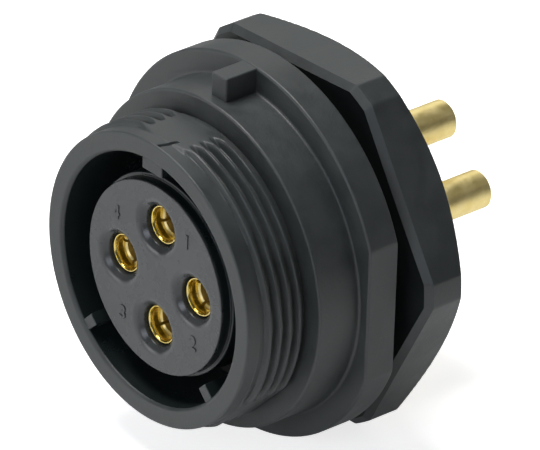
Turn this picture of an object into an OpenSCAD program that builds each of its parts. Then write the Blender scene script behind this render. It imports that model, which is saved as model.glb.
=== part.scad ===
// Four-way circular panel receptacle with a threaded coupling and a rear lock nut.
// The connector's axis runs along Y: the mating face looks to -Y, the wires leave at +Y,
// and the main key is at the top, +Z. The origin is on the axis, on the flange's panel seat.
// Inside the modules each piece is drawn upright: z = 0 is the panel seat, +z is the mating
// side and +y is the main key. placed() then lays the pieces down. Diameters grow outward
// from the socket insert, so that a change of one wall carries what stands outside it.

/* [Mating shell] */
// Radial gap between the insert's body and the mouth's wall
recess_w = 2.9; // [2.2:0.1:4]
// Wall of the rim, from the mouth to the crests of the coupling thread
rim_wall = 2.95; // [2.2:0.05:4]
// Length from the mating rim back to the collar
coupling_h = 8; // [7.5:0.1:12]
// Plain land in front of the coupling thread
land_h = 1.6; // [0.8:0.1:1.8]
// Step from the land up to the thread's crests
land_step = 0.6; // [0.4:0.05:0.8]
// Length of the thread's lead-in cone
lead_l = 0.8; // [0.3:0.1:0.9]
// Distance from the rim to the middle of the first groove
first_groove = 3.45; // [3.4:0.05:3.5]
// Pitch of the coupling thread
coupling_pitch = 1.41; // [1.2:0.01:1.42]
// Grooves along the coupling thread
coupling_grooves = 3; // [1:1:3]
// Depth of the coupling thread
coupling_depth = 0.85; // [0.4:0.05:1]
// Height above the land of the three smooth lanes through the thread, one over each key
lane_rise = 0.05; // [0.05:0.01:0.2]
// Width of the relief groove behind the coupling thread
relief_w = 0.75; // [0.3:0.05:0.8]
// Depth of the relief groove below the land
relief_depth = 0.25; // [0.1:0.05:0.5]
// Depth of the mouth
mouth_depth = 12; // [9:0.1:13]
// Chamfer inside the mouth
mouth_chamfer = 0.3; // [0.1:0.05:0.8]
// Length of the sight line moulded into the front land
sight_l = 2.2; // [0.5:0.1:2.4]
// Width of the sight line
sight_w = 0.35; // [0.2:0.05:0.6]
// Depth of the sight line
sight_depth = 0.3; // [0.1:0.05:0.4]

/* [Polarising keys] */
// Width of the main key inside the mouth
main_key_w = 3.3; // [2:0.1:5]
// Height of the main key above the mouth's wall
main_key_h = 1.4; // [0.6:0.1:1.8]
// Width of the two minor keys
minor_key_w = 1.4; // [1:0.1:3]
// Height of the minor keys above the mouth's wall
minor_key_h = 1.7; // [0.6:0.1:2]
// Angle of the minor keys from the main key
minor_key_angle = 134.5; // [100:0.5:150]
// Distance of the keys' front faces behind the rim
key_setback = 0.3; // [0:0.1:1]

/* [Collar and flange] */
// Step from the thread's crests up to the collar
collar_step = 1.8; // [1:0.1:3]
// Length of the collar
collar_h = 5.6; // [5:0.1:9]
// Step from the collar up to the flange's rim
flange_step = 2.85; // [2:0.05:5]
// Depth of the two side flats below the flange's rim
flat_depth = 1.5; // [0.2:0.1:1.8]
// Thickness of the flange
flange_t = 3.9; // [3.2:0.1:5]
// Chamfer on the flange's front edge
flange_chamfer = 0.2; // [0.1:0.05:0.6]
// Fillet between the collar and the flange
collar_fillet = 0.8; // [0.3:0.1:0.9]
// Width of the anti-rotation key on top of the collar
block_w = 2.5; // [1.5:0.1:5]
// Length of the anti-rotation key
block_l = 4.2; // [2:0.1:4.8]
// Distance of the anti-rotation key's top below the flange's rim
block_drop = 0.1; // [0:0.05:0.6]

/* [Threaded shank] */
// Wall of the shank, from the insert stack's bore to the thread's crests
shank_wall = 2.95; // [2.4:0.05:3.2]
// Length of the shank behind the panel seat
shank_l = 10.8; // [9.9:0.1:14]
// Plain neck between the panel seat and the shank thread
neck_l = 1.6; // [1:0.1:2]
// Pitch of the shank thread
shank_pitch = 1.5; // [1.2:0.1:2]
// Depth of the shank thread
shank_depth = 0.85; // [0.3:0.05:1]

/* [Lock nut] */
// Wall of the nut, from its thread's crests to its flats
nut_wall = 4.3; // [3.5:0.1:6]
// Height of the turned corners above the flats
nut_corner = 2.4; // [2:0.1:2.8]
// Thickness of the nut
nut_t = 6.5; // [5:0.1:8]
// Distance of the nut's front face behind the panel seat, as shown
nut_gap = 2.3; // [1.8:0.1:3]
// Turn of the nut's flats, clockwise seen from the mating side
nut_turn = -2.7; // [-30:0.1:30]
// Bevel along the front edge of each flat
nut_bevel = 1.1; // [0.3:0.1:1.5]
// Step from the nut's flats in to the rim of its flat front face
nut_face_step = 0.3; // [0.1:0.05:0.6]
// Fall of the turned front cone out to the corners
nut_front_fall = 0.4; // [0.2:0.05:0.6]
// Length of the turned chamfer at the back of the corners
nut_back_chamfer = 1.8; // [0.5:0.1:2.4]
// Clearance of the nut's thread over the shank's crests
nut_clear = 0.25; // [0.15:0.05:0.4]

/* [Insert and sealing] */
// Diameter of the socket insert's body
insert_body_d = 23.2; // [22.4:0.1:26]
// Step from the insert's body down to its face's rim
insert_step = 0.45; // [0.2:0.05:0.7]
// Length of the narrower front of the insert
insert_nose = 1.3; // [0.5:0.1:2]
// Distance of the insert's face behind the rim
insert_setback = 1.1; // [0:0.1:2]
// Radial gap between the insert's body and its hole in the shell
insert_clear = 0.2; // [0.1:0.05:0.3]
// Height of the seating flange above the insert's body
seat_step = 1.4; // [1:0.1:2]
// Distance of the insert's shoulder in front of the panel seat
seat_front = 1; // [0.6:0.1:1.5]
// Thickness of the socket insert's flange
insert_flange_t = 2.5; // [2.3:0.1:2.8]
// Thickness of the rubber wire seal
wire_seal_t = 2.2; // [1.5:0.1:2.4]
// Thickness of the rear insert's flange
rear_flange_t = 2.5; // [2.3:0.1:2.8]
// Length of the rear insert's boss
rear_boss_l = 5.4; // [3.5:0.1:5.4]
// Radial width of the retainer ring round the rear boss
retainer_w = 2; // [1.5:0.1:2.2]
// Thickness of the retainer ring
retainer_t = 2.6; // [1.5:0.1:3]
// Width of the spanner slots in the retainer ring
spanner_w = 3; // [2:0.1:4]
// Width of the tab that clocks the insert
tab_w = 2; // [1:0.1:4]
// Length of the tab that clocks the insert
tab_l = 1.2; // [0.5:0.1:2]
// Thickness of the flat seal on the floor of the mouth
face_seal_t = 1.4; // [0.8:0.1:1.5]
// Section diameter of the panel O-ring
panel_ring_d = 1.8; // [1.2:0.1:2]
// Distance from the shank's crests to the middle of the panel O-ring
panel_ring_gap = 2.2; // [1.4:0.1:2.6]
// Section diameter of the insert O-ring
insert_ring_d = 1.5; // [1:0.1:1.8]
// Clearance between pieces that are pushed together
fit_clear = 0.05; // [0.02:0.01:0.08]

/* [Contacts] */
// Diameter of the circle through the four contacts
contact_pcd = 12.3; // [12:0.1:12.6]
// Diameter of the openings in the insert's face
entry_d = 4.8; // [4.6:0.1:5]
// Diameter of the funnel around each opening
dish_d = 6.4; // [6:0.1:7]
// Depth of the funnel
dish_depth = 1.6; // [1:0.1:2]
// Distance of the hoods' front edges behind the insert's face
contact_setback = 1.7; // [1:0.1:2.2]
// Distance of the slotted sockets' tips behind the hoods' front edges
socket_setback = 0.7; // [0.3:0.1:1.2]
// Bore for the mating pin
pin_bore_d = 3.1; // [2.8:0.1:3.2]
// Depth of the pin bore
pin_bore_l = 11; // [9:0.1:12]
// Outer diameter of the slotted socket
socket_d = 3.8; // [3.7:0.1:3.9]
// Wall of the hood over the slotted socket
hood_wall = 0.225; // [0.15:0.005:0.3]
// Length of the hood
hood_l = 8; // [7:0.1:8.5]
// Width of the slots in the socket
slot_w = 0.35; // [0.2:0.05:0.6]
// Length of the slots in the socket
slot_l = 6.6; // [4:0.1:6.8]
// Diameter of the contact's shoulder
shoulder_d = 6; // [5.6:0.1:6.4]
// Thickness of the contact's shoulder
shoulder_t = 1.9; // [1:0.1:1.9]
// Diameter of the solder barrel
barrel_d = 4.4; // [4.2:0.1:4.5]
// Distance of the contacts' rear ends behind the panel seat
contact_rear = 24.9; // [22:0.1:28]
// Bore of the solder barrel
solder_bore_d = 3.2; // [2.4:0.1:3.4]
// Depth of the solder bore
solder_bore_l = 8; // [5:0.1:9]
// Diameter of the vent hole at the bottom of the solder bore
vent_d = 0.9; // [0.5:0.1:1.2]
// Turn of the slots of each contact
slot_turns = [20, 65, 35, 80];
// Radial width of the retention clips
clip_w = 0.85; // [0.6:0.05:1]
// Thickness of the retention clips
clip_t = 0.9; // [0.5:0.1:1]
// Depth of the clip's groove in the contact
clip_groove = 0.35; // [0.2:0.05:0.4]
// Opening of the split clips
clip_gap = 1.6; // [0.8:0.1:2]

/* [Hidden] */
// Overlap that keeps cuts and joined shapes clean
eps = 0.02;
// Edges of mouldings are eased by this much
ease = 0.3;
// Segments of round shapes
$fn = 96;

// Radii, from the insert outward
body_r = insert_body_d / 2;
face_r = body_r - insert_step;
mouth_r = body_r + recess_w;
coupling_r = mouth_r + rim_wall;
land_r = coupling_r - land_step;
collar_r = coupling_r + collar_step;
flange_r = collar_r + flange_step;
flat_half = flange_r - flat_depth;
web_bore_r = body_r + insert_clear;
seat_r = body_r + seat_step;
rear_bore_r = seat_r + fit_clear;
boss_r = seat_r - retainer_w - insert_clear;
retainer_inner_r = boss_r + insert_clear;
shank_r = rear_bore_r + shank_wall;
panel_ring_r = shank_r + panel_ring_gap;
nut_bore_r = shank_r + nut_clear;
nut_flat_r = nut_bore_r + nut_wall;
nut_corner_r = nut_flat_r + nut_corner;
ring_mid_r = web_bore_r - fit_clear - insert_ring_d / 2;

// Radii of the contacts and of what fits round them
socket_r = socket_d / 2;
barrel_r = barrel_d / 2;
shoulder_r = shoulder_d / 2;
entry_r = entry_d / 2;
dish_r = dish_d / 2;
hood_inner_r = socket_r + fit_clear / 2;
hood_r = hood_inner_r + hood_wall;
clip_inner_r = barrel_r - clip_groove + fit_clear;
clip_r = clip_inner_r + clip_w;

// Stations along the axis, forward of the panel seat
z_collar = flange_t + collar_h;
z_rim = z_collar + coupling_h;
z_floor = z_rim - mouth_depth;
z_face = z_rim - insert_setback;
z_mouth = z_face - contact_setback;
z_insert_back = seat_front - insert_flange_t;
z_seal_back = z_insert_back - wire_seal_t;
z_rear_flange_back = z_seal_back - rear_flange_t;
z_boss_back = z_rear_flange_back - rear_boss_l;
z_retainer_back = z_rear_flange_back - retainer_t;
z_nut_front = -nut_gap;
z_nut_back = z_nut_front - nut_t;
z_shoulder_back = z_insert_back + fit_clear;
z_shoulder_front = z_shoulder_back + shoulder_t;
z_tip = z_mouth - socket_setback;
z_hood = z_mouth - hood_l;
z_clip = z_seal_back - fit_clear - clip_t;
z_ring = (seat_front + z_floor) / 2;

BLACK = [0.13, 0.135, 0.14];
RUBBER = [0.07, 0.07, 0.075];
GOLD = [0.83, 0.66, 0.27];
STEEL = [0.72, 0.72, 0.7];

// Lays a piece down: z forward becomes -Y, and the main key's side becomes +Z
module placed() {
    rotate([90, 0, 0]) children();
}

// Moves a piece to a clock angle, clockwise seen from the mating side
module clocked(angle, r = 0) {
    rotate([0, 0, -angle]) translate([0, r, 0]) children();
}

// Places a piece at contact position i, counted clockwise from the main key
module at_contact(i) {
    clocked(90 * (i - 1), contact_pcd / 2) children();
}

// A solid or hollow disc between two stations
module disc(r, z0, z1, hole = 0) {
    translate([0, 0, z0]) difference() {
        cylinder(r = r, h = z1 - z0);
        if (hole > 0) translate([0, 0, -eps]) cylinder(r = hole, h = z1 - z0 + 2 * eps);
    }
}

// A bar across the axis whose two long front edges are bevelled
module bevelled_bar(width, z0, z1, bevel) {
    reach = 60;
    translate([0, reach / 2, 0]) rotate([90, 0, 0]) linear_extrude(reach)
        polygon([[-width / 2, z0], [-width / 2, z1 - bevel], [-width / 2 + bevel, z1],
                 [width / 2 - bevel, z1], [width / 2, z1 - bevel], [width / 2, z0]]);
}

// Section of a moulded thread groove: a trapezoid that opens outward from r by the pitch
module groove_section(r, depth, pitch) {
    crest = pitch * 0.3;
    root = pitch * 0.2;
    polygon([[r + eps, -(pitch - crest) / 2], [r + eps, (pitch - crest) / 2],
             [r - depth, root / 2], [r - depth, -root / 2]]);
}

// ---------- Shell ----------

// The plain land, which runs on under the thread to the collar
module coupling_land() {
    rotate_extrude() polygon([[0, z_collar - eps], [land_r - relief_depth, z_collar - eps],
        [land_r - relief_depth, z_collar + relief_w], [land_r, z_collar + relief_w],
        [land_r, z_rim - ease], [land_r - ease, z_rim], [0, z_rim]]);
}

// The thread's crests, cut back by a flat over each key
module coupling_thread() {
    core = land_r - 1;
    lane_r = land_r + lane_rise;
    z_crest = z_rim - land_h - lead_l;
    difference() {
        rotate_extrude() polygon([[core, z_collar + relief_w + eps], [coupling_r, z_collar + relief_w + eps],
            [coupling_r, z_crest], [land_r, z_rim - land_h], [core, z_rim - land_h]]);
        for (a = [0, minor_key_angle, -minor_key_angle])
            clocked(a) translate([-coupling_r, lane_r, z_collar]) cube([2 * coupling_r, coupling_r, coupling_h]);
    }
}

// The thread's grooves, which stop at the lanes
module coupling_cuts() {
    lane_half = sqrt(pow(coupling_r, 2) - pow(land_r + lane_rise, 2));
    difference() {
        rotate_extrude() for (i = [0 : coupling_grooves - 1])
            translate([0, z_rim - first_groove - i * coupling_pitch])
                groove_section(coupling_r, coupling_depth, coupling_pitch);
        for (a = [0, minor_key_angle, -minor_key_angle])
            clocked(a) translate([-lane_half, 0, z_collar]) cube([2 * lane_half, 2 * coupling_r, coupling_h]);
    }
}

// Collar and flange in one outline, with the fillet between them
module collar_and_flange() {
    cf = collar_fillet;
    fillet = [for (a = [0 : 15 : 90])
        [collar_r + cf - cf * sin(a), flange_t + cf - cf * cos(a)]];
    intersection() {
        rotate_extrude() polygon(concat(
            [[0, 0], [flange_r, 0], [flange_r, flange_t - flange_chamfer],
             [flange_r - flange_chamfer, flange_t]],
            fillet,
            [[collar_r, z_collar - ease], [collar_r - ease, z_collar], [0, z_collar]]));
        union() {
            bevelled_bar(2 * flat_half, -eps, flange_t, flange_chamfer);
            disc(collar_r + cf + eps, flange_t - eps, z_collar + eps);
        }
    }
}

// The anti-rotation key that stands on the collar, level with the flange's rim
module collar_block() {
    inner = collar_r - 1;
    top = flange_r - block_drop;
    translate([-block_w / 2, inner, flange_t - eps]) cube([block_w, top - inner, block_l + eps]);
}

// The threaded shank behind the panel seat
module shank() {
    count = floor((shank_l - neck_l - 2 * ease) / shank_pitch);
    difference() {
        rotate_extrude() polygon([[0, eps], [shank_r, eps], [shank_r, -shank_l + 2 * ease],
                                  [shank_r - 2 * ease, -shank_l], [0, -shank_l]]);
        rotate_extrude() union() for (i = [0 : count - 1])
            translate([0, -neck_l - (i + 0.5) * shank_pitch])
                groove_section(shank_r, shank_depth, shank_pitch);
    }
}

// One key on the mouth's wall
module mouth_key(angle, width, height) {
    root = 0.8;
    bottom = z_floor + face_seal_t + ease;
    clocked(angle) translate([-width / 2, mouth_r - height, bottom])
        cube([width, height + root, z_rim - key_setback - bottom]);
}

// The mouth with its chamfered entry
module mouth() {
    rotate_extrude() polygon([[0, z_floor], [mouth_r, z_floor], [mouth_r, z_rim - mouth_chamfer],
        [mouth_r + mouth_chamfer + eps, z_rim + eps], [0, z_rim + eps]]);
}

// The sight line in the land, over the main key
module sight_line() {
    translate([-sight_w / 2, land_r - sight_depth, z_rim - 0.5 - sight_l])
        cube([sight_w, 2, sight_l]);
}

module shell() {
    color(BLACK) placed() union() {
        difference() {
            union() {
                difference() {
                    union() {
                        coupling_land();
                        coupling_thread();
                    }
                    coupling_cuts();
                    sight_line();
                }
                collar_and_flange();
                collar_block();
                shank();
            }
            mouth();
            // the hole through the web and the wider rear bore that takes the insert stack
            disc(web_bore_r, seat_front - eps, z_floor + eps);
            disc(rear_bore_r, -shank_l - eps, seat_front);
            clock_tab(fit_clear);
            // groove for the panel O-ring
            disc(panel_ring_r + panel_ring_d / 2 + fit_clear, -eps, panel_ring_d + fit_clear,
                 panel_ring_r - panel_ring_d / 2 - fit_clear);
        }
        mouth_key(0, main_key_w, main_key_h);
        mouth_key(minor_key_angle, minor_key_w, minor_key_h);
        mouth_key(-minor_key_angle, minor_key_w, minor_key_h);
    }
}

// ---------- Nut ----------

module nut() {
    mouth = 0.5;
    count = floor((nut_t - 2 * mouth) / shank_pitch);
    z_first = (z_nut_front + z_nut_back + (count - 1) * shank_pitch) / 2;
    color(BLACK) placed() difference() {
        intersection() {
            clocked(nut_turn) nut_flats();
            rotate_extrude() polygon([[0, z_nut_back], [nut_flat_r - nut_face_step, z_nut_back],
                [nut_corner_r, z_nut_back + nut_back_chamfer],
                [nut_corner_r, z_nut_front - nut_front_fall - nut_bevel],
                [nut_corner_r - nut_bevel, z_nut_front - nut_front_fall],
                [nut_flat_r - nut_face_step, z_nut_front], [0, z_nut_front]]);
        }
        rotate_extrude() polygon([[0, z_nut_back - eps], [nut_bore_r + mouth, z_nut_back - eps],
            [nut_bore_r, z_nut_back + mouth], [nut_bore_r, z_nut_front - mouth],
            [nut_bore_r + mouth, z_nut_front + eps], [0, z_nut_front + eps]]);
        // the nut's thread grooves open inward
        rotate_extrude() union() for (i = [0 : count - 1])
            translate([2 * nut_bore_r, z_first - i * shank_pitch]) mirror([1, 0])
                groove_section(nut_bore_r, shank_depth, shank_pitch);
    }
}

// The three pairs of flats, each with a bevel along its front edge
module nut_flats() {
    intersection_for (a = [0, 60, 120]) rotate([0, 0, a + 90])
        bevelled_bar(2 * nut_flat_r, z_nut_back - eps, z_nut_front, nut_bevel);
}

// ---------- Inserts ----------

// Tab in front of the insert's flange that fits the shell's notch
module clock_tab(clear) {
    inner = body_r - 0.5;
    clocked(180) translate([-tab_w / 2 - clear, inner, seat_front - eps - clear])
        cube([tab_w + 2 * clear, seat_r - inner + clear, tab_l + eps + 2 * clear]);
}

// The hole for one contact, with its funnel and the seat of its shoulder
module contact_hole() {
    disc(entry_r, z_insert_back - eps, z_face + eps);
    disc(shoulder_r + fit_clear, z_insert_back - eps, z_shoulder_front);
    rotate_extrude() polygon([[0, z_face + eps], [0, z_face - dish_depth], [entry_r, z_face - dish_depth],
        [dish_r - ease, z_face - ease], [dish_r, z_face - ease / 4], [dish_r + ease, z_face],
        [dish_r + ease, z_face + eps]]);
}

module socket_insert() {
    groove_r = ring_mid_r - insert_ring_d / 2 - fit_clear;
    half = insert_ring_d / 2 + fit_clear;
    z_nose = z_face - insert_nose;
    color([0.2, 0.205, 0.21]) placed() difference() {
        union() {
            rotate_extrude() polygon([[0, z_insert_back], [seat_r, z_insert_back],
                [seat_r, seat_front], [body_r, seat_front],
                [body_r, z_ring - half], [groove_r, z_ring - half],
                [groove_r, z_ring + half], [body_r, z_ring + half],
                [body_r, z_nose - ease], [body_r - ease, z_nose],
                [face_r, z_nose], [face_r, z_face - ease], [face_r - ease, z_face], [0, z_face]]);
            clock_tab(0);
        }
        for (i = [1 : 4]) at_contact(i) contact_hole();
    }
}

module wire_seal() {
    color(RUBBER) placed() difference() {
        disc(seat_r, z_seal_back, z_insert_back);
        for (i = [1 : 4]) at_contact(i)
            disc(barrel_r + fit_clear, z_seal_back - eps, z_insert_back + eps);
    }
}

module rear_insert() {
    color(BLACK) placed() difference() {
        union() {
            disc(seat_r, z_rear_flange_back, z_seal_back);
            rotate_extrude() polygon([[0, z_boss_back], [boss_r - ease, z_boss_back],
                [boss_r, z_boss_back + ease], [boss_r, z_rear_flange_back + eps],
                [0, z_rear_flange_back + eps]]);
        }
        for (i = [1 : 4]) at_contact(i) {
            disc(barrel_r + fit_clear, z_boss_back - eps, z_seal_back + eps);
            disc(clip_r + insert_clear, z_clip - fit_clear, z_seal_back + eps);
        }
    }
}

module retainer_ring() {
    color(BLACK) placed() difference() {
        disc(seat_r, z_retainer_back, z_rear_flange_back, retainer_inner_r);
        for (a = [45 : 90 : 315]) clocked(a)
            translate([-spanner_w / 2, retainer_inner_r - 1, z_retainer_back - eps])
                cube([spanner_w, retainer_w, retainer_t / 2]);
    }
}

// ---------- Seals ----------

module face_seal() {
    color(RUBBER) placed() disc(mouth_r - fit_clear, z_floor, z_floor + face_seal_t, web_bore_r);
}

module insert_oring() {
    color(RUBBER) placed() rotate_extrude()
        translate([ring_mid_r, z_ring]) circle(d = insert_ring_d, $fn = 48);
}

module panel_oring() {
    color(RUBBER) placed() rotate_extrude()
        translate([panel_ring_r, panel_ring_d / 2 + fit_clear])
            circle(d = panel_ring_d, $fn = 48);
}

// ---------- Contacts ----------

// A turned contact: slotted socket, shoulder, clip groove and solder barrel
module contact(i) {
    z_step = z_hood - fit_clear;
    z_low = z_clip - fit_clear;
    z_high = z_clip + clip_t + fit_clear;
    groove_r = barrel_r - clip_groove;
    tip = 0.2;
    tip_lead = 0.2;
    color(GOLD) placed() at_contact(i) difference() {
        rotate_extrude() polygon([[0, -contact_rear], [barrel_r - tip, -contact_rear],
            [barrel_r, -contact_rear + tip], [barrel_r, z_low], [groove_r, z_low],
            [groove_r, z_high], [barrel_r, z_high], [barrel_r, z_shoulder_back],
            [shoulder_r, z_shoulder_back], [shoulder_r, z_shoulder_front],
            [hood_r, z_shoulder_front], [hood_r, z_step], [socket_r, z_step],
            [socket_r, z_tip], [0, z_tip]]);
        // pin bore with a small lead-in
        disc(pin_bore_d / 2, z_tip - pin_bore_l, z_tip + eps);
        translate([0, 0, z_tip - tip_lead])
            cylinder(r1 = pin_bore_d / 2, r2 = pin_bore_d / 2 + tip_lead, h = tip_lead + eps);
        // two crossed slots
        for (a = [0, 90]) rotate([0, 0, a + slot_turns[i - 1]])
            translate([-socket_d, -slot_w / 2, z_tip - slot_l])
                cube([2 * socket_d, slot_w, slot_l + 1]);
        // solder bore and its vent
        disc(solder_bore_d / 2, -contact_rear - eps, -contact_rear + solder_bore_l);
        translate([0, 0, -contact_rear + solder_bore_l - vent_d]) rotate([0, 0, 90 * (i - 1)])
            rotate([90, 0, 0]) cylinder(d = vent_d, h = barrel_d, $fn = 24);
    }
}

// The closed sleeve over a slotted socket
module hood(i) {
    lip = 0.12;
    color(GOLD) placed() at_contact(i) rotate_extrude()
        polygon([[hood_inner_r, z_hood], [hood_r, z_hood], [hood_r, z_mouth - lip],
                 [hood_r - lip, z_mouth], [hood_inner_r, z_mouth]]);
}

// The split ring that holds a contact against the rear insert
module clip(i) {
    color(STEEL) placed() at_contact(i) difference() {
        disc(clip_r, z_clip, z_clip + clip_t, clip_inner_r);
        rotate([0, 0, 30]) translate([0, -clip_gap / 2, z_clip - eps])
            cube([2 * clip_r, clip_gap, clip_t + 2 * eps]);
    }
}

module contact_1() { contact(1); }
module contact_2() { contact(2); }
module contact_3() { contact(3); }
module contact_4() { contact(4); }
module hood_1() { hood(1); }
module hood_2() { hood(2); }
module hood_3() { hood(3); }
module hood_4() { hood(4); }
module clip_1() { clip(1); }
module clip_2() { clip(2); }
module clip_3() { clip(3); }
module clip_4() { clip(4); }

shell();
nut();
socket_insert();
wire_seal();
rear_insert();
retainer_ring();
face_seal();
insert_oring();
panel_oring();
contact_1();
contact_2();
contact_3();
contact_4();
hood_1();
hood_2();
hood_3();
hood_4();
clip_1();
clip_2();
clip_3();
clip_4();
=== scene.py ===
"""Dresses a four-way circular panel receptacle: shell, lock nut, insert, contacts and a studio."""

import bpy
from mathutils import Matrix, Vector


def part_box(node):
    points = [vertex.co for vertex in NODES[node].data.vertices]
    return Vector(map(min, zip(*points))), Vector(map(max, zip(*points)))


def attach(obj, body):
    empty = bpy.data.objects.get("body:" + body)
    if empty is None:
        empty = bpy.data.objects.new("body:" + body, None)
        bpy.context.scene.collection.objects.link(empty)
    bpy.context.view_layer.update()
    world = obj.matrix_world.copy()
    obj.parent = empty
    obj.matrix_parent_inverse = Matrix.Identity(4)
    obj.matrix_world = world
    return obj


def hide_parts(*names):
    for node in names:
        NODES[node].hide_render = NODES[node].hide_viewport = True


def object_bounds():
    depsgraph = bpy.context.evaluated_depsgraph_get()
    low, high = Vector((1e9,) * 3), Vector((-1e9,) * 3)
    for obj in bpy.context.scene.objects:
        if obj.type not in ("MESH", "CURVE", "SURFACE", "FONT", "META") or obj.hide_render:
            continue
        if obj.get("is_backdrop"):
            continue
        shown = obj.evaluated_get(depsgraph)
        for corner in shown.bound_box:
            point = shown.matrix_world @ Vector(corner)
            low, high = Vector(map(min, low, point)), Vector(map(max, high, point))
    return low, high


bl_info = {
    "name": "Panel Receptacle",
    "version": (1, 0, 0),
    "blender": (4, 5, 0),
    "location": "3D View > Sidebar > Receptacle",
    "description": "Builds the mouldings, contacts and finishes of a circular panel receptacle",
    "category": "Object",
}

import math

import bmesh
import bpy
import numpy as np
from bpy.props import FloatProperty, FloatVectorProperty, PointerProperty
from mathutils import Matrix, Vector

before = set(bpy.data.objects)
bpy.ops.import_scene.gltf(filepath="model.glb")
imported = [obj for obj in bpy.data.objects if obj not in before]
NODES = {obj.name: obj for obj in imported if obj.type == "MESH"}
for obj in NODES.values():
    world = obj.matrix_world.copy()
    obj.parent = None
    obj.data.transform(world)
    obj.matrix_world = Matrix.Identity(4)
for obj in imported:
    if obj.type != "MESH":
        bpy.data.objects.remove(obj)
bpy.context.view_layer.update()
MM = 0.001
TURN = 2 * math.pi


def node_radius(name):
    """Half of a node's width, in mm: the radius of a turned piece that stands on the axis."""
    low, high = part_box(name)
    return (high[0] - low[0]) / 2 / MM


def node_ends(name):
    """Front and rear ends of a node along the connector, in mm forward of the panel seat."""
    low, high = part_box(name)
    return -low[1] / MM, -high[1] / MM


# all sizes are in mm, and each _Z is a distance forward of the panel seat; FIT is the clearance
# round a seated piece
FIT = 0.05
RIM_Z, SHANK_END_Z = node_ends("shell")
NUT_FRONT_Z, NUT_BACK_Z = node_ends("nut")
FACE_Z = node_ends("socket_insert")[0]
INSERT_BACK_Z = 1.2
FLANGE_FLAT = node_radius("shell")
NUT_CORNER = node_radius("nut")
MOUTH_R = node_radius("face_seal") + FIT
FLOOR_Z = node_ends("face_seal")[1]
SHANK_BORE_R = node_radius("retainer_ring") + FIT
SHANK_WALL = 2.95
SHANK_R = SHANK_BORE_R + SHANK_WALL
SHANK_DEPTH = 0.85
# the front faces of the collar and the flange, and how far the collar stands out from the
# coupling thread and the flange from the collar
COLLAR_Z, COLLAR_STEP = 9.5, 1.8
FLANGE_Z, FLANGE_STEP = 3.9, 2.85


# ---------------------------------------------------------------- geometry

def clock_points(radius, theta, z):
    """World points (r sin t, -z, r cos t) of cylinder coordinates: the clock angle t turns
    clockwise from the top as the mating side sees it, and z is forward of the panel seat."""
    radius, theta, z = np.broadcast_arrays(radius, theta, z)
    return np.stack([radius * np.sin(theta), -z, radius * np.cos(theta)], -1) * MM


def grid_faces(rows, columns, close_rows, close_columns, first=0):
    """Quads of a grid of points, as index arrays; a closed direction joins its last line to its
    first."""
    i = np.arange(rows if close_rows else rows - 1)
    j = np.arange(columns if close_columns else columns - 1)
    i, j = [a.ravel() for a in np.meshgrid(i, j, indexing="ij")]
    i2, j2 = (i + 1) % rows, (j + 1) % columns
    corners = [i * columns + j, i * columns + j2, i2 * columns + j2, i2 * columns + j]
    return first + np.stack(corners, 1)


def make_piece(name, points, faces, body, sharp=38.0, weld=True):
    """A mesh object from point and face arrays. Its faces are turned outward by the sign of the
    volume that they enclose, the sum of a.(b x c)/6 over their triangles."""
    mesh = bpy.data.meshes.new(name)
    points, faces = np.asarray(points, float).reshape(-1, 3), np.asarray(faces)
    a, b, c, d = (points[faces[:, k]] for k in (0, 1, 2, -1))
    volume = sum(np.einsum("ij,ij->i", a, np.cross(p, q)).sum() for p, q in ((b, c), (c, d)))
    if volume < 0:
        faces = faces[:, ::-1]
    mesh.from_pydata(points, [], faces)
    mesh.validate()
    if weld:
        bm = bmesh.new()
        bm.from_mesh(mesh)
        bmesh.ops.remove_doubles(bm, verts=bm.verts, dist=2e-7)
        bmesh.ops.dissolve_degenerate(bm, edges=bm.edges, dist=1e-8)
        bm.to_mesh(mesh)
        bm.free()
    mesh.polygons.foreach_set("use_smooth", np.ones(len(mesh.polygons), bool))
    if sharp:
        mesh.set_sharp_from_angle(angle=math.radians(sharp))
    piece = bpy.data.objects.new(name, mesh)
    bpy.context.scene.collection.objects.link(piece)
    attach(piece, body)
    return piece


def turned(name, theta, rows, body, sharp=38.0):
    """A turned piece: each row is a radius and a height, numbers or one value per clock angle, and
    the closed loop of rows is carried round the axis."""
    radius = np.stack([np.broadcast_to(r, theta.shape) for r, z in rows], 1)
    height = np.stack([np.broadcast_to(z, theta.shape) for r, z in rows], 1)
    points = clock_points(radius, theta[:, None], height)
    return make_piece(name, points, grid_faces(len(theta), len(rows), True, True), body, sharp)


def eased(corners, steps=4):
    """A path whose corners (r, z, ease) are rounded: each becomes the quadratic curve
    (1-t)^2 start + 2t(1-t) corner + t^2 stop, whose ends lie ease away along both sides. A guard
    point just outside each end keeps the long sides flat when the path is shaded smooth."""
    path = []
    for k, (r, z, ease) in enumerate(corners):
        here = np.array([r, z])
        if ease == 0 or k in (0, len(corners) - 1):
            path.append((r, z))
            continue
        before, after = (np.array(corners[n][:2]) - here for n in (k - 1, k + 1))
        share_in, share_out = (min(0.45, ease / max(np.hypot(*d), 1e-9)) for d in (before, after))
        start, stop = here + before * share_in, here + after * share_out
        path.append(tuple(start + before * min(0.04, share_in * 0.3)))
        for t in np.linspace(0, 1, steps + 1):
            path.append(tuple((1 - t) ** 2 * start + 2 * t * (1 - t) * here + t ** 2 * stop))
        path.append(tuple(stop + after * min(0.04, share_out * 0.3)))
    return path


def soft_min(a, b, ease):
    """The smaller of two values, b + (a - b) h - ease h (1 - h), where h runs from 0 to 1 while
    b - a runs from -ease to ease."""
    h = np.clip(0.5 + 0.5 * (b - a) / ease, 0, 1)
    return b + (a - b) * h - ease * h * (1 - h)


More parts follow.
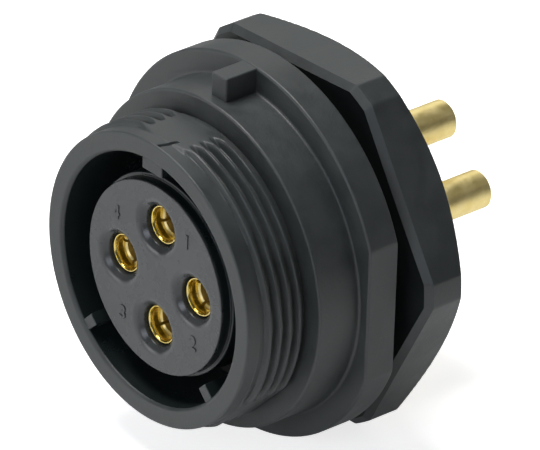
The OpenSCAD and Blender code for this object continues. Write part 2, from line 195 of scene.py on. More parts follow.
def groove(phase, crest=0.2, root=0.3, rounding=0.04):
    """Depth from 0 to 1 of a moulded thread at a phase in turns: flat crests, sloping flanks and a
    flat root, each as a share of the pitch, with the corners eased."""
    from_root = np.abs((phase + 0.5) % 1.0 - 0.5)
    slope = (1 - crest - root) / 2
    ramp = (from_root - root / 2) / slope
    ease = rounding / slope
    return 1 - soft_min(-soft_min(-ramp, 0, ease), 1, ease)


def rounded_bar(name, low, high, angle, body, bevel):
    """A moulded bar, drawn at the top and turned to its clock angle: a box between two corners
    (across, radius, z) with its edges bevelled."""
    corners = [(i, j, k) for i in (0, 1) for j in (0, 1) for k in (0, 1)]
    across, out, along = np.where(corners, high, low).T
    a = math.radians(angle)
    points = np.stack([out * math.sin(a) + across * math.cos(a), -along,
                       out * math.cos(a) - across * math.sin(a)], 1) * MM
    faces = [[0, 1, 3, 2], [4, 6, 7, 5], [0, 4, 5, 1], [2, 3, 7, 6], [0, 2, 6, 4], [1, 5, 7, 3]]
    piece = make_piece(name, points, faces, body, sharp=0, weld=False)
    mod = piece.modifiers.new("Eased edges", "BEVEL")
    mod.width, mod.segments, mod.harden_normals = bevel * MM, 3, True
    return piece


# ---------------------------------------------------------------- finishes

# widths of the fibre streaks and sink waves in nylon, and of the bloom and the skin of rubber
FIBRE_MM, SINK_MM, BLOOM_MM, SKIN_MM = 0.7, 3.5, 2.5, 0.2
NYLON_IOR = 1.53


def linear(hex_colour):
    """An sRGB hex colour as linear RGBA."""
    c = np.array([int(hex_colour[i:i + 2], 16) for i in (1, 3, 5)]) / 255
    c = np.where(c <= 0.04045, c / 12.92, ((c + 0.055) / 1.055) ** 2.4)
    return (*c, 1.0)


def add_node(tree, kind, settings=None, to=None, **inputs):
    """Adds a node: settings are its own properties, each input is a value or a socket to link, and
    "to" is an output's number and the socket that it feeds. An input is called by its name, with _
    for a space, or by i and its number."""
    made = tree.nodes.new(kind)
    for key, value in (settings or {}).items():
        setattr(made, key, value)
    for key, value in inputs.items():
        numbered = key[0] == "i" and key[1:].isdigit()
        socket = made.inputs[int(key[1:]) if numbered else key.replace("_", " ")]
        if isinstance(value, bpy.types.NodeSocket):
            tree.links.new(value, socket)
        else:
            socket.default_value = value
    if to:
        tree.links.new(made.outputs[to[0]], to[1])
    return made


def new_finish(name):
    """An empty material with its surface shader and the piece's own coordinates."""
    material = bpy.data.materials.new(name)
    material.use_nodes = True
    tree = material.node_tree
    tree.nodes.clear()
    shader = add_node(tree, "ShaderNodeBsdfPrincipled")
    add_node(tree, "ShaderNodeOutputMaterial", Surface=shader.outputs[0])
    place = add_node(tree, "ShaderNodeTexCoord").outputs["Object"]
    return material, tree, shader, place


def nylon(name, dark, light, rough, grain_mm, grain_depth, mottle_mm=5.0):
    """Glass-filled nylon as it leaves the mould: glass fibres near the skin break the sheen into
    soft grey mottling, and the mould's spark-eroded grain keeps it matte."""
    material, tree, shader, place = new_finish(name)
    # clouds a few mm wide and fibre streaks under 1 mm, mixed half and half
    mottle = add_node(tree, "ShaderNodeTexNoise", Vector=place, Scale=1 / (mottle_mm * MM),
                      Detail=4.0, Roughness=0.6, Distortion=0.4).outputs["Fac"]
    fibres = add_node(tree, "ShaderNodeTexNoise", Vector=place, Scale=1 / (FIBRE_MM * MM),
                      Detail=4.0, Roughness=0.7, Distortion=1.2).outputs["Fac"]
    half = add_node(tree, "ShaderNodeMapRange", Value=mottle, From_Min=0.35, From_Max=0.65,
                    To_Min=0.0, To_Max=0.5).outputs[0]
    both = add_node(tree, "ShaderNodeMath", {"operation": "MULTIPLY_ADD"},
                    i0=fibres, i1=0.5, i2=half).outputs[0]
    add_node(tree, "ShaderNodeMix", {"data_type": "RGBA"}, i0=both, i6=(*dark, 1), i7=(*light, 1),
             to=(2, shader.inputs["Base Color"]))
    add_node(tree, "ShaderNodeMapRange", Value=both, From_Min=0.2, From_Max=0.8,
             To_Min=rough - 0.05, To_Max=rough + 0.09, to=(0, shader.inputs["Roughness"]))
    shader.inputs["IOR"].default_value = NYLON_IOR
    # the eroded grain rides on slow sink waves
    grain = add_node(tree, "ShaderNodeTexNoise", Vector=place, Scale=1 / (grain_mm * MM),
                     Detail=3.0, Roughness=0.6).outputs["Fac"]
    waves = add_node(tree, "ShaderNodeTexNoise", Vector=place, Scale=1 / (SINK_MM * MM),
                     Detail=2.0).outputs["Fac"]
    height = add_node(tree, "ShaderNodeMath", {"operation": "MULTIPLY_ADD"},
                      i0=waves, i1=1.2, i2=grain).outputs[0]
    add_node(tree, "ShaderNodeBump", Height=height, Strength=0.4, Distance=grain_depth * MM,
             to=(0, shader.inputs["Normal"]))
    return material


def metal(name, dark, light, rough, cloud_mm, line_mm, line_depth):
    """A worked metal: slightly duller clouds for handling, and fine lines round its length that
    the turning tool or the rolls left."""
    material, tree, shader, place = new_finish(name)
    shader.inputs["Metallic"].default_value = 1.0
    cloud = add_node(tree, "ShaderNodeTexNoise", Vector=place, Scale=1 / (cloud_mm * MM),
                     Detail=3.0, Roughness=0.6).outputs["Fac"]
    share = add_node(tree, "ShaderNodeMapRange", Value=cloud, From_Min=0.35,
                     From_Max=0.65).outputs[0]
    add_node(tree, "ShaderNodeMix", {"data_type": "RGBA"}, i0=share, i6=(*dark, 1),
             i7=(*light, 1), to=(2, shader.inputs["Base Color"]))
    add_node(tree, "ShaderNodeMapRange", Value=cloud, From_Min=0.35, From_Max=0.65,
             To_Min=rough, To_Max=rough + 0.1, to=(0, shader.inputs["Roughness"]))
    along = add_node(tree, "ShaderNodeSeparateXYZ", Vector=place).outputs["Y"]
    turns = add_node(tree, "ShaderNodeMath", {"operation": "DIVIDE"},
                     i0=along, i1=line_mm * MM).outputs[0]
    lines = add_node(tree, "ShaderNodeTexNoise", {"noise_dimensions": "1D"},
                     W=turns, Scale=1.0, Detail=2.0).outputs["Fac"]
    add_node(tree, "ShaderNodeBump", Height=lines, Strength=0.35, Distance=line_depth * MM,
             to=(0, shader.inputs["Normal"]))
    return material


def rubber(name, dark, light):
    """Moulded silicone rubber: soft, with a faint bloom of dust and no clear highlight."""
    material, tree, shader, place = new_finish(name)
    cloud = add_node(tree, "ShaderNodeTexNoise", Vector=place, Scale=1 / (BLOOM_MM * MM),
                     Detail=3.0).outputs["Fac"]
    share = add_node(tree, "ShaderNodeMapRange", Value=cloud, From_Min=0.35,
                     From_Max=0.65).outputs[0]
    add_node(tree, "ShaderNodeMix", {"data_type": "RGBA"}, i0=share, i6=(*dark, 1),
             i7=(*light, 1), to=(2, shader.inputs["Base Color"]))
    shader.inputs["Roughness"].default_value = 0.68
    skin = add_node(tree, "ShaderNodeTexNoise", Vector=place, Scale=1 / (SKIN_MM * MM),
                    Detail=3.0).outputs["Fac"]
    add_node(tree, "ShaderNodeBump", Height=skin, Strength=0.3, Distance=0.01 * MM,
             to=(0, shader.inputs["Normal"]))
    return material


FINISHES = {}


def finish(key):
    """Makes each finish once, from the colours of the panel."""
    if key not in FINISHES:
        c = bpy.context.scene.receptacle_colours
        if key == "gold":
            made = metal("Gold plate, hard, over turned brass", c.gold_dull, c.gold_bright,
                         rough=0.4, cloud_mm=1.6, line_mm=0.12, line_depth=0.004)
        elif key == "polished gold":
            made = metal("Gold plate, bright, over drawn brass", c.gold_deep, c.gold_dull,
                         rough=0.18, cloud_mm=1.6, line_mm=0.3, line_depth=0.006)
        elif key == "steel":
            made = metal("Spring steel, rolled strip", c.steel, c.steel,
                         rough=0.25, cloud_mm=0.5, line_mm=0.05, line_depth=0.001)
        elif key == "rubber":
            made = rubber("Silicone rubber, moulded", c.rubber, c.rubber_bloom)
        elif key == "insert":
            made = nylon("Thermoplastic insert, fine moulded", c.insert, c.insert_mottle,
                         rough=0.26, grain_mm=0.25, grain_depth=0.01, mottle_mm=3.0)
        # the seat finish is painted shade: a near-black colour for the nut's front face
        elif key == "seat":
            made = nylon("Nylon, glass-filled, seat face with painted shade", c.seat, c.seat,
                         rough=0.45, grain_mm=0.3, grain_depth=0.03)
        # the recess finish is painted shade: a darker colour for the mouth's wall and floor, the
        # keys' sides and the insert's sides
        elif key == "core":
            made = nylon("Nylon, glass-filled, moulded on the polished core", c.core, c.core,
                         rough=0.3, grain_mm=0.5, grain_depth=0.01)
        else:
            made = nylon("Nylon, glass-filled, moulded " + key, c.nylon, c.nylon_mottle,
                         rough=0.48, grain_mm=0.3, grain_depth=0.05)
        FINISHES[key] = made
    return FINISHES[key]


def dress(piece, *materials):
    """Gives a piece or a CAD node its materials."""
    piece.data.materials.clear()
    for material in materials:
        piece.data.materials.append(material)


def face_values(piece, attribute):
    """One vector per face: its "center" or its "normal"."""
    values = np.empty(len(piece.data.polygons) * 3)
    piece.data.polygons.foreach_get(attribute, values)
    return values.reshape(-1, 3)


def second_finish(piece, chosen):
    """Gives the chosen faces the second of the piece's finishes."""
    piece.data.polygons.foreach_set("material_index", np.asarray(chosen, np.int32))


# ---------------------------------------------------------------- sizes

class ShellSizes(bpy.types.PropertyGroup):
    rim_wall: FloatProperty(
        name="Rim wall", description="Wall from the mouth to the thread's crests, mm",
        default=2.95, min=1)
    land_step: FloatProperty(
        name="Land step", description="Depth of the plain land below the crests, mm", default=0.6)
    land_length: FloatProperty(
        name="Land length", description="Length of the plain land, mm", default=1.6)
    lead_length: FloatProperty(
        name="Lead-in length", description="Length of the thread's lead-in cone, mm", default=0.8)
    pitch: FloatProperty(
        name="Coupling pitch", description="Pitch of the coupling thread, mm", default=1.41)
    first_groove: FloatProperty(
        name="First groove", description="Distance of the first groove behind the rim, mm",
        default=3.3)
    depth: FloatProperty(
        name="Thread depth", description="Depth of the coupling thread, mm", default=0.85)
    lane_angle: FloatProperty(
        name="Lane angle", description="Clock angle of the side lanes through the thread, degrees",
        default=134.5)
    sight_length: FloatProperty(
        name="Sight line", description="Length of the sight line over the main key, mm",
        default=2.2)
    key_length: FloatProperty(
        name="Key length", description="Length of the keys in the mouth, mm", default=9.0)
    shank_pitch: FloatProperty(
        name="Shank pitch", description="Pitch of the shank thread, mm", default=1.5)


class NutSizes(bpy.types.PropertyGroup):
    wall: FloatProperty(
        name="Wall", description="Wall from the bore to the flats, mm", default=4.3)
    clearance: FloatProperty(
        name="Clearance", description="Clearance over the shank's crests, mm", default=0.25)
    turn: FloatProperty(
        name="Turn", description="Turn of the flats, clockwise from the mating side, degrees",
        default=-2.7)
    bevel: FloatProperty(
        name="Bevel", description="Bevel along the front edge of each flat, mm", default=0.75)
    set_back: FloatProperty(
        name="Set back", description="How far back the nut stands on its thread, mm", default=0.4)


class InsertSizes(bpy.types.PropertyGroup):
    pitch_circle: FloatProperty(
        name="Contact circle", description="Diameter of the circle through the contacts, mm",
        default=12.3)
    opening: FloatProperty(
        name="Opening", description="Diameter of the openings, mm", default=4.8)
    funnel: FloatProperty(
        name="Funnel", description="Diameter of the funnel around each opening, mm", default=5.8)
    funnel_depth: FloatProperty(
        name="Funnel depth", description="Depth of the funnels, mm", default=0.7)
    face: FloatProperty(
        name="Face radius", description="Radius of the insert's face, mm", default=11.15)
    body: FloatProperty(
        name="Body radius", description="Radius of the insert's body, mm", default=11.6)
    hood_wall: FloatProperty(
        name="Hood wall", description="Wall of the contacts' hoods, mm", default=0.3)
    digit: FloatProperty(
        name="Digit height", description="Height of the moulded contact numbers, mm", default=1.7)


def colour(name, description, hex_colour):
    """A colour property whose default is an sRGB hex colour."""
    return FloatVectorProperty(name=name, description=description, subtype="COLOR", min=0, max=1,
                               default=linear(hex_colour)[:3])


class Colours(bpy.types.PropertyGroup):
    nylon: colour("Nylon", "Colour of the shell and the nut", "#262A2A")
    nylon_mottle: colour("Nylon, light", "Colour of the nylon where fibres lie near the skin",
                         "#393D3D")
    # the recess colour is painted shade, darker than the nylon where the mouth's recess lies in
    # shadow
    core: colour("Recess shade", "Darker colour painted as shade on the mouth's glossy wall, the keys' sides and the insert's sides", "#1A2122")
    # the seat colour is painted shade on the nut's front face, which lies in the flange's shadow
    seat: colour("Seat", "Colour painted as shade on the nut's front face", "#0E1314")
    insert: colour("Insert", "Colour of the socket insert", "#2D3031")
    insert_mottle: colour("Insert, light", "Colour of the insert's lighter clouds", "#3B3E3F")
    gold_deep: colour("Gold, deep", "Colour of the bright plating in its deeper clouds", "#E0C65C")
    gold_dull: colour("Gold, dull", "Colour of the gold plating in its duller clouds", "#F0DA90")
    gold_bright: colour("Gold, bright", "Colour of the gold plating", "#FBE9A8")
    steel: colour("Steel", "Colour of the clips", "#B5B5B0")
    rubber: colour("Rubber", "Colour of the seals", "#090A0B")
    rubber_bloom: colour("Rubber, bloom", "Colour of the seals where dust clings", "#101112")


class StudioSettings(bpy.types.PropertyGroup):
    key_power: FloatProperty(
        name="Key light", description="Power of the key light, W", default=1.25, subtype="POWER")
    glint_power: FloatProperty(
        name="Glint", description="Power of the light that edges and funnels catch, W",
        default=0.75, subtype="POWER")
    top_power: FloatProperty(
        name="Top light", description="Power of the light above, W", default=3.7, subtype="POWER")
    back_power: FloatProperty(
        name="Back light", description="Power of the light behind, W", default=0.37,
        subtype="POWER")
    rear_power: FloatProperty(
        name="Rear light", description="Power of the light the pins catch, W", default=0.07,
        subtype="POWER")
    ambient: FloatProperty(
        name="Ambient", description="Strength of the plain light from all round", default=0.06)
    floor_colour: colour("Floor", "Colour of the floor", "#E6E6E6")
    floor_glow: FloatProperty(
        name="Floor glow", description="Light that the lit table around throws up", default=0.13)
    glint_colour: colour("Glint colour", "Colour of the glint", "#ECF1FF")


# ---------------------------------------------------------------- shell

class RECEPTACLE_OT_mouth(bpy.types.Operator):
    """Builds the shell's mouth and coupling thread"""
    bl_idname = "receptacle.mouth"
    bl_label = "Mouth and coupling thread"

    def execute(self, context):
        s = context.scene.receptacle_shell
        crest = MOUTH_R + s.rim_wall
        land = crest - s.land_step
        # the relief behind the thread lies below the land, and the floor ends under the insert
        relief = land - 0.25
        floor = MOUTH_R - 3
        z_land = RIM_Z - s.land_length
        z_crest = z_land - s.lead_length
        z_relief = COLLAR_Z + 0.75
        first_angle = math.radians(60)
        # clock angles lie closer together where the sight line crosses them
        theta = np.radians(np.concatenate([np.arange(1, 8, 0.16), np.arange(8, 361, 0.68)]))
        # a lane is a flat: its distance from the axis over the cosine of the angle off its middle,
        # within reach (radians) of that middle
        reach, far = 1.2, 99.0
        lanes = []
        for middle in (0.0, s.lane_angle, -s.lane_angle):
            off = (theta - math.radians(middle) + math.pi) % TURN - math.pi
            flat = (land + 0.05) / np.cos(np.clip(off, -reach, reach))
            lanes.append(np.where(np.abs(off) < reach, flat, far))
        lane = np.minimum.reduce(lanes)
        # the grooves run out where the lanes begin
        depth = s.depth * np.clip(((lane - land) / (crest - land) - 0.35) / 0.65, 0, 1)

        def outer(z):
            """Radius at one height: crest - depth groove(turns), cut back by the lead-in cone, the
            lanes and the relief, and on the lead-in never below the land."""
            turns = (RIM_Z - s.first_groove - z) / s.pitch - (theta - first_angle) / TURN
            cone = land + (z_land - z) * (crest - land) / s.lead_length
            r = soft_min(crest - depth * groove(turns), cone, 0.12)
            r = soft_min(r, lane, 0.12)
            r = np.minimum(r, relief + max(0.0, (z - z_relief) / 0.12) * 0.6)
            if z > z_crest:
                r = -soft_min(-r, -land, 0.05)
            # the sight line starts 0.3 behind the rim and slants by 1.1 degrees for each mm; it is
            # 0.35 deep and 0.2 to either side of its middle
            behind = RIM_Z - 0.3 - z
            if 0 <= behind <= s.sight_length:
                middle = math.radians(3.0 + 1.1 * behind)
                r = r - 0.35 * np.exp(-((theta - middle) * land / 0.2) ** 4)
            return r

        rows = eased([(floor, FLOOR_Z, 0), (MOUTH_R, FLOOR_Z, 0.25), (MOUTH_R, RIM_Z - 0.35, 0.15),
                      (MOUTH_R + 0.32, RIM_Z, 0.18), (land, RIM_Z, 0.3), (land, RIM_Z - 0.6, 0)])
        rows = rows[:-1]
        rows += [(outer(z), z) for z in np.arange(RIM_Z - 0.36, z_land, -0.15)]
        rows += [(outer(z), z) for z in np.arange(z_land, COLLAR_Z - 0.2, -0.075)]
        rows += [(relief, COLLAR_Z - 1.0), (relief, FLOOR_Z - 1.0), (floor, FLOOR_Z - 1.0)]
        mouth = turned("shell_mouth", theta, rows, "receptacle")
        # the mouth's wall and floor take the glossier recess finish, whose darker colour is painted
        # shade inside the mouth
        dress(mouth, finish("shell"), finish("core"))
        middles = face_values(mouth, "center") / MM
        inside = np.hypot(middles[:, 0], middles[:, 2]) < MOUTH_R + 0.03
        second_finish(mouth, inside & (-middles[:, 1] < RIM_Z - 0.4))
        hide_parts("shell")
        # keys: name, clock angle, width and height
        z_key = RIM_Z - 0.3
        keys = (("main_key", 0, 3.3, 1.4), ("minor_key_right", s.lane_angle, 1.4, 1.7),
                ("minor_key_left", -s.lane_angle, 1.4, 1.7))
        for name, angle, width, height in keys:
            key = rounded_bar(name, (-width / 2, MOUTH_R - height, z_key - s.key_length),
                              (width / 2, MOUTH_R + 0.8, z_key), angle, "receptacle", 0.15)
            # only the front end shows the eroded grain; the sides take the glossier recess finish,
            # whose darker colour is painted shade inside the mouth
            dress(key, finish("shell"), finish("core"))
            second_finish(key, [1, 1, 1, 1, 1, 0])
        return {"FINISHED"}


class RECEPTACLE_OT_flange(bpy.types.Operator):
    """Builds the shell's collar, flange and threaded shank"""
    bl_idname = "receptacle.flange"
    bl_label = "Collar, flange and shank"

    def execute(self, context):
        s = context.scene.receptacle_shell
        collar = MOUTH_R + s.rim_wall + COLLAR_STEP
        rim = collar + FLANGE_STEP
        end, chamfer, edge = SHANK_END_Z, 0.6, 0.2
        theta = np.radians(np.arange(0, 360, 0.75))
        sine = np.maximum(np.abs(np.sin(theta)), 1e-6)

        def flats(r, z):
            """The flange's radius cut by its two side flats, half / |sin t|, whose front edges are
            bevelled."""
            half = FLANGE_FLAT - max(0.0, z - (FLANGE_Z - edge))
            return soft_min(r, half / sine, 0.05)

        # the front starts inside the mouth's wall, which hides the joint between the two mouldings
        hidden = MOUTH_R + 1.3
        rows = eased([(hidden, FLOOR_Z - 0.6, 0), (hidden, COLLAR_Z, 0), (collar, COLLAR_Z, 0.3),
                      (collar, FLANGE_Z, 0.35), (rim, FLANGE_Z, 0)], 6)[:-1]
        flange = eased([(collar + 1, FLANGE_Z, 0), (rim - edge, FLANGE_Z, 0.1),
                        (rim, FLANGE_Z - edge, 0.1), (rim, 0.0, 0.2), (collar + 1, 0.0, 0)], 3)
        rows += [(flats(r, z), z) for r, z in flange[1:-1]]
        rows += [(SHANK_R + 0.3, 0.0), (SHANK_R - 0.2, 0.0)]
        neck, first_groove, run_out = -1.3, -1.6, 0.5

        def thread(z):
            """Radius at one height: shank - depth groove(turns), fading at the plain neck and at
            the end, and the end's chamfer."""
            turns = (first_groove - z) / s.shank_pitch - theta / TURN
            fade = np.clip((neck - z) / run_out, 0, 1)
            fade = fade * np.clip((z - end - 0.2) / run_out, 0, 1)
            return soft_min(SHANK_R - SHANK_DEPTH * groove(turns) * fade,
                            SHANK_R - chamfer + (z - end), 0.1)

        rows += [(thread(z), z) for z in np.arange(-0.4, end, -0.1)]
        # down the shank's end face, and forward through its bore to the step at the mouth's floor
        bore, step = SHANK_BORE_R, SHANK_BORE_R - 1.4
        rows += eased([(SHANK_R - chamfer, end, 0), (bore + 0.2, end, 0.1), (bore, end + 0.2, 0.1),
                       (bore, 1.0, 0), (bore - 1.2, 1.0, 0), (step, 1.2, 0),
                       (step, FLOOR_Z - 0.6, 0)], 2)
        body = turned("shell_flange", theta, rows, "receptacle")
        dress(body, finish("shell"))
        half, length = 1.25, 4.2
        block = rounded_bar("anti_rotation_key", (-half, collar - 1, FLANGE_Z - 0.5),
                            (half, rim - 0.1, FLANGE_Z + length), 0, "receptacle", 0.2)
        dress(block, finish("shell"))
        return {"FINISHED"}


class RECEPTACLE_OT_nut(bpy.types.Operator):
    """Builds the hexagonal lock nut"""
    bl_idname = "receptacle.nut"
    bl_label = "Lock nut"

    def execute(self, context):
        n, pitch = context.scene.receptacle_nut, context.scene.receptacle_shell.shank_pitch
        bore = SHANK_R + n.clearance
        flat = bore + n.wall
        front, back = NUT_FRONT_Z - n.set_back, NUT_BACK_Z - n.set_back
        length = front - back
        # the depth of the bore's mouths, and the cone that turns the back of the corners
        lead, cone_low, cone_length = 0.5, flat - 0.3, 1.8
        theta = np.radians(np.arange(0, 360, 0.5))
        # the hexagon is flat / cos of the angle off its nearest side, within the turned corners
        side = np.radians((np.degrees(theta) - n.turn + 30.0) % 60.0 - 30.0)
        hexagon = soft_min(flat / np.cos(side), NUT_CORNER, 0.05)

        def outer(z):
            """Side radius: the hexagon, cut by the cone at the back of its corners."""
            cone = cone_low + (z - back) * (NUT_CORNER - cone_low) / cone_length
            return soft_min(hexagon, cone, 0.15)

        def inner(z):
            """Bore radius plus depth groove(turns), which fades at both mouths."""
            turns = (front - z) / pitch - theta / TURN
            fade = np.clip((front - lead - z) / lead, 0, 1)
            fade = fade * np.clip((z - back - lead) / lead, 0, 1)
            mouth = max(0.0, lead - min(front - z, z - back))
            return bore + mouth + SHANK_DEPTH * groove(turns) * fade

        # flat front face out to the bevel, then the bevel at 45 degrees out to the hexagon
        start, edge = bore + lead, hexagon - n.bevel
        rows = [(start + (edge - start) * u, front) for u in (0.0, 0.5, 0.94, 1.0)]
        rows += [(edge + n.bevel * u, front - n.bevel * u) for u in (0.06, 0.5, 0.94, 1.0)]
        rows.append((hexagon, front - n.bevel - 0.12))
        # rows lie closer together on the cone
        depths = np.concatenate([np.linspace(1.8, length - 2.1, 6),
                                 np.linspace(length - 1.9, length, 12)])
        rows += [(outer(front - d), front - d) for d in depths]
        rows += [(outer(back) - 0.3, back)]
        rows += [(inner(z), z) for z in np.arange(back, front + 0.001, length / 64)]
        nut = turned("lock_nut", theta, rows, "lock_nut", 30.0)
        dress(nut, finish("nut"), finish("seat"))
        # the seat faces, those looking forward, take a much darker colour: painted shade where the
        # flange shadows them, on a slightly smoother finish
        second_finish(nut, face_values(nut, "normal")[:, 1] < -0.8)
        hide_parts("nut")
        return {"FINISHED"}


# ---------------------------------------------------------------- insert and contacts

class RECEPTACLE_OT_insert(bpy.types.Operator):
    """Builds the socket insert with its dished openings"""
    bl_idname = "receptacle.insert"
    bl_label = "Socket insert"

    def execute(self, context):
        s = context.scene.receptacle_insert
        face, body = s.face, s.body
        centre = s.pitch_circle / 2
        opening, mouth = s.opening / 2, s.funnel / 2
        edge = face - 0.3
        # a quarter of the face in the plane (across, up), whose contact stands straight up: its
        # outline is an arc and two spokes, and a ray runs from the contact to each of its points
        arc = np.radians(np.linspace(-45, 45, 73))
        slant = [math.sin(math.pi / 4), math.cos(math.pi / 4)]
        spoke = (np.linspace(1, 0, 31)[1:] * edge)[:, None] * slant
        outline = np.concatenate([np.stack([edge * np.sin(arc), edge * np.cos(arc)], 1), spoke,
                                  spoke[::-1][1:] * [-1, 1]])
        ray = outline - [0, centre]
        reach = np.hypot(ray[:, 0], ray[:, 1])[:, None]
        ray = ray / reach
        points, faces = [], []

        def add_grid(grid, flip=False):
            """Adds a grid of points whose rows run round and close."""
            first = sum(len(p) for p in points)
            quads = grid_faces(grid.shape[0], grid.shape[1], True, False, first)
            points.append(grid.reshape(-1, 3))
            faces.append(quads[:, ::-1] if flip else quads)

        def add_quarters(r, z, swell=1.0, flip=False):
            """Adds a quarter's points contact + ray r, swollen about the axis, and the same turned
            by one, two and three right angles."""
            across, up = ray[:, :1] * r * swell, (centre + ray[:, 1:] * r) * swell
            for k in range(4):
                a = k * math.pi / 2
                aside = across * math.cos(a) + up * math.sin(a)
                upward = -across * math.sin(a) + up * math.cos(a)
                add_grid(np.stack(np.broadcast_arrays(aside, -z, upward), -1) * MM, flip)

        # from deep in the hole, up the funnel and out to the outline
        rows = [(opening, -depth) for depth in np.linspace(FACE_Z - INSERT_BACK_Z, 2.0, 8)]
        rows += eased([(opening, -s.funnel_depth - 0.15, 0), (opening + 0.03, -s.funnel_depth, 0.1),
                       (mouth + 0.2, 0.0, 0.5), (mouth + 1.3, 0.0, 0)], 6)
        radius, height = np.array(rows).T
        u = np.linspace(0, 1, 6)[1:]
        flat = radius[-1] + (reach - radius[-1]) * u
        add_quarters(np.concatenate([np.tile(radius, (len(ray), 1)), flat], 1),
                     FACE_Z + np.concatenate([height, 0 * u]))
        # skirt: eased rim, narrower nose, and the body down into the shell
        around = np.concatenate([arc[:-1] + k * math.pi / 2 for k in range(4)])
        skirt = eased([(edge, FACE_Z, 0), (face, FACE_Z, 0.28), (face, FACE_Z - 1.3, 0.1),
                       (body, FACE_Z - 1.3, 0.25), (body, INSERT_BACK_Z, 0)], 5)
        radius, height = np.array(skirt).T
        add_grid(clock_points(radius, around[:, None], height))
        # rear face: from each hole's rear end out to the outline, carried to the body's radius
        u = np.linspace(0, 1, 4)
        far = np.hypot(outline[:, 0], outline[:, 1])[:, None]
        add_quarters(opening + (reach - opening) * u, INSERT_BACK_Z,
                     1 + (body / edge - 1) * u * far / edge, flip=True)
        insert = make_piece("insert_face", np.concatenate(points), np.concatenate(faces),
                            "receptacle", 40.0)
        # the insert's sides below its face take the recess finish, whose darker colour is painted
        # shade in the gap round the insert
        dress(insert, finish("insert"), finish("core"))
        middles = face_values(insert, "center")
        deep = -middles[:, 1] / MM < FACE_Z - 0.5
        outside = np.hypot(middles[:, 0], middles[:, 2]) / MM > edge
        second_finish(insert, deep & outside)
        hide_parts("socket_insert")
        return {"FINISHED"}


class RECEPTACLE_OT_numbers(bpy.types.Operator):
    """Builds the moulded contact numbers on the insert's face"""
    bl_idname = "receptacle.numbers"
    bl_label = "Contact numbers"

    def execute(self, context):
        s = context.scene.receptacle_insert
        # the numbers' circle, their clock angle past their contacts, and font size over height
        circle, past, font_share = 8.4 * MM, 38, 1.35
        for k in range(4):
            curve = bpy.data.curves.new("number", "FONT")
            curve.body, curve.size = str(k + 1), s.digit * MM * font_share
            curve.align_x, curve.align_y = "CENTER", "CENTER"
            curve.extrude, curve.bevel_depth, curve.offset = 0.06 * MM, 0.03 * MM, 0.02 * MM
            letter = bpy.data.objects.new("number", curve)
            context.scene.collection.objects.link(letter)
            context.view_layer.update()
            shaped = letter.evaluated_get(context.evaluated_depsgraph_get())
            mesh = bpy.data.meshes.new_from_object(shaped)
            bpy.data.objects.remove(letter)
            a = math.radians(k * 90 + past)
            place = (circle * math.sin(a), -(FACE_Z + 0.02) * MM, circle * math.cos(a))
            mesh.transform(Matrix.Translation(place) @ Matrix.Rotation(math.radians(90), 4, "X"))
            digit = bpy.data.objects.new(f"contact_number_{k + 1}", mesh)
            context.scene.collection.objects.link(digit)
            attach(digit, "receptacle")
            dress(digit, finish("insert"))
        return {"FINISHED"}


class RECEPTACLE_OT_contacts(bpy.types.Operator):
    """Finishes the contacts, their hoods and clips, and the rear pieces"""
    bl_idname = "receptacle.contacts"
    bl_label = "Contacts and rear pieces"

    def execute(self, context):
        kinds = {"contact": "gold", "hood": "polished gold", "clip": "steel", "rear": "insert"}
        for name, node in NODES.items():
            soft = name.endswith(("seal", "oring"))
            dress(node, finish("rubber" if soft else kinds.get(name.split("_")[0], "nut")))
        # each hood's belled mouth reaches forward to just below its funnel
        s = context.scene.receptacle_insert
        hood, hood_z = node_radius("hood_1"), node_ends("hood_1")[0]
        bore, bell_z = hood - s.hood_wall, FACE_Z - s.funnel_depth - 0.4
        path = eased([(bore, hood_z, 0), (bore, bell_z - 0.3, 0), (hood - 0.1, bell_z, 0.04),
                      (hood + 0.02, bell_z, 0.04), (hood, hood_z, 0)], 3)
        r, z = np.array(path).T
        around = np.radians(np.arange(0, 360, 3.75))[:, None]
        for k in range(4):
            low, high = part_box(f"hood_{k + 1}")
            middle = (low + high) / 2 / MM
            points = np.stack(np.broadcast_arrays(middle.x + r * np.sin(around), -z,
                                                  middle.z + r * np.cos(around)), -1) * MM
            bell = make_piece(f"hood_mouth_{k + 1}", points,
                              grid_faces(len(around), len(path), True, True), "receptacle")
            dress(bell, finish("polished gold"))
        return {"FINISHED"}


# ---------------------------------------------------------------- studio

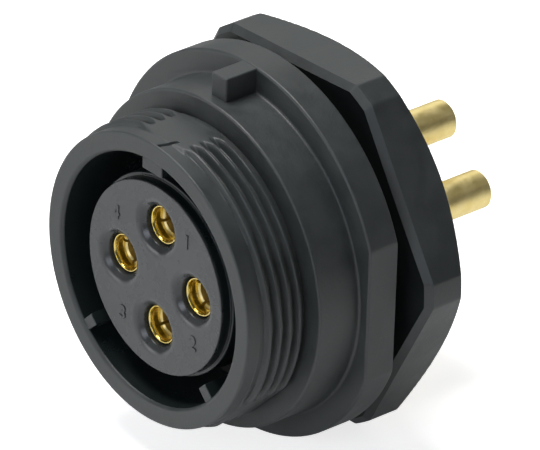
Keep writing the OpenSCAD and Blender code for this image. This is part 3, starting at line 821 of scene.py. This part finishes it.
class RECEPTACLE_OT_stage(bpy.types.Operator):
    """Sets up the floor, the lights, the world and the camera"""
    bl_idname = "receptacle.stage"
    bl_label = "Studio"

    def execute(self, context):
        scene, st = context.scene, context.scene.receptacle_studio
        white = (1, 1, 1, 1)
        # a square floor under the part, 3 m to either side
        ground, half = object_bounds()[0].z, 3
        corners = [(x * half, y * half, ground) for x, y in ((-1, -1), (1, -1), (1, 1), (-1, 1))]
        mesh = bpy.data.meshes.new("floor")
        mesh.from_pydata(corners, [], [(0, 1, 2, 3)])
        floor = bpy.data.objects.new("floor", mesh)
        scene.collection.objects.link(floor)
        floor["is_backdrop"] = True
        # matte paper, lifted to white for the camera alone, with a little glow that fills the
        # undersides
        lift = 0.75
        material, tree, shader, _ = new_finish("Studio floor, matte paper")
        shader.inputs["Base Color"].default_value = (*st.floor_colour, 1)
        shader.inputs["Roughness"].default_value = 0.9
        shader.inputs["Emission Color"].default_value = white
        seen = add_node(tree, "ShaderNodeLightPath").outputs["Is Camera Ray"]
        add_node(tree, "ShaderNodeMath", {"operation": "MULTIPLY_ADD"}, i0=seen,
                 i1=lift - st.floor_glow, i2=st.floor_glow,
                 to=(0, shader.inputs["Emission Strength"]))
        dress(floor, material)
        # the world is white for the camera and dim for everything else
        world = bpy.data.worlds.new("Studio")
        world.use_nodes = True
        backdrop = world.node_tree.nodes["Background"]
        backdrop.inputs["Color"].default_value = white
        seen = add_node(world.node_tree, "ShaderNodeLightPath").outputs["Is Camera Ray"]
        add_node(world.node_tree, "ShaderNodeMath", {"operation": "MULTIPLY_ADD"}, i0=seen,
                 i1=1 - st.ambient, i2=st.ambient, to=(0, backdrop.inputs["Strength"]))
        scene.world = world

        def lamp(name, place, power, size, tint=(1, 1, 1)):
            """A round light at a place in metres, aimed at the part."""
            light = bpy.data.lights.new(name, "AREA")
            light.energy, light.size, light.shape = power, size, "DISK"
            light.color = tint
            lamp_object = bpy.data.objects.new(name, light)
            scene.collection.objects.link(lamp_object)
            lamp_object.location = place
            lamp_object.rotation_mode = "QUATERNION"
            lamp_object.rotation_quaternion = Vector(place).to_track_quat("Z", "Y")

        lamp("Key", (-0.31, -0.53, 0.07), st.key_power, 0.4)
        lamp("Glint", (0.22, -0.5, 0.25), st.glint_power, 0.27, st.glint_colour)
        lamp("Back", (-0.42, 0.36, 0.3), st.back_power, 0.35)
        lamp("Rear", (0.3, 0.38, 0.4), st.rear_power, 0.3)
        lamp("Top", (-0.14, -0.06, 0.56), st.top_power, 0.35)
        # the camera's focal length and aim are in 540ths of its view's width, and each mm at the
        # target spans 9.221 of those
        azimuth, elevation, roll = (math.radians(v) for v in (48.95, 29.11, 1.84))
        target, distance = Vector((0, -4.6 * MM, 0)), 887.5
        width, focal, sensor = 540, 9.221 * distance, 36
        aim_right, aim_up = 31.6 / focal, 20.6 / focal
        back = Vector((math.sin(azimuth) * math.cos(elevation),
                       -math.cos(azimuth) * math.cos(elevation), math.sin(elevation)))
        across = Vector((0, 0, 1)).cross(back).normalized()
        upward = back.cross(across)
        right = across * math.cos(roll) + upward * math.sin(roll)
        up = upward * math.cos(roll) - across * math.sin(roll)
        # the point of aim lies right of and above the target
        forward = (-back + right * aim_right + up * aim_up).normalized()
        right = forward.cross(up).normalized()
        turn = Matrix((right, right.cross(forward), -forward)).transposed()
        camera_data = bpy.data.cameras.new("Camera")
        camera_data.sensor_width, camera_data.lens = sensor, sensor * focal / width
        camera_data.clip_start, camera_data.clip_end = 0.01, 20
        camera_data.dof.use_dof = False
        camera = bpy.data.objects.new("Camera", camera_data)
        scene.collection.objects.link(camera)
        place = Matrix.Translation(target + back * (distance * MM))
        camera.matrix_world = place @ turn.to_4x4()
        scene.camera = camera
        scene.view_settings.view_transform = "Standard"
        return {"FINISHED"}


class RECEPTACLE_PT_panel(bpy.types.Panel):
    """Lists the builders of the receptacle"""
    bl_idname = "RECEPTACLE_PT_panel"
    bl_label = "Panel receptacle"
    bl_space_type = "VIEW_3D"
    bl_region_type = "UI"
    bl_category = "Receptacle"

    def draw(self, context):
        for step in STEPS:
            self.layout.operator(step)
        for group in GROUPS:
            sizes = getattr(context.scene, group)
            box = self.layout.box()
            for name in sizes.bl_rna.properties.keys():
                if name not in ("rna_type", "name"):
                    box.prop(sizes, name)


STEPS = ("receptacle.stage", "receptacle.contacts", "receptacle.mouth", "receptacle.flange",
         "receptacle.nut", "receptacle.insert", "receptacle.numbers")
GROUPS = {
    "receptacle_colours": Colours,
    "receptacle_shell": ShellSizes,
    "receptacle_nut": NutSizes,
    "receptacle_insert": InsertSizes,
    "receptacle_studio": StudioSettings,
}
CLASSES = (*GROUPS.values(), RECEPTACLE_OT_mouth, RECEPTACLE_OT_flange, RECEPTACLE_OT_nut,
           RECEPTACLE_OT_insert, RECEPTACLE_OT_numbers, RECEPTACLE_OT_contacts,
           RECEPTACLE_OT_stage, RECEPTACLE_PT_panel)


def register():
    for cls in CLASSES:
        bpy.utils.register_class(cls)
    for name, group in GROUPS.items():
        setattr(bpy.types.Scene, name, PointerProperty(type=group))


def unregister():
    for name in GROUPS:
        delattr(bpy.types.Scene, name)
    for cls in reversed(CLASSES):
        bpy.utils.unregister_class(cls)


def main():
    register()
    for step in STEPS:
        group, name = step.split(".")
        getattr(getattr(bpy.ops, group), name)()


if __name__ == "__main__":
    main()
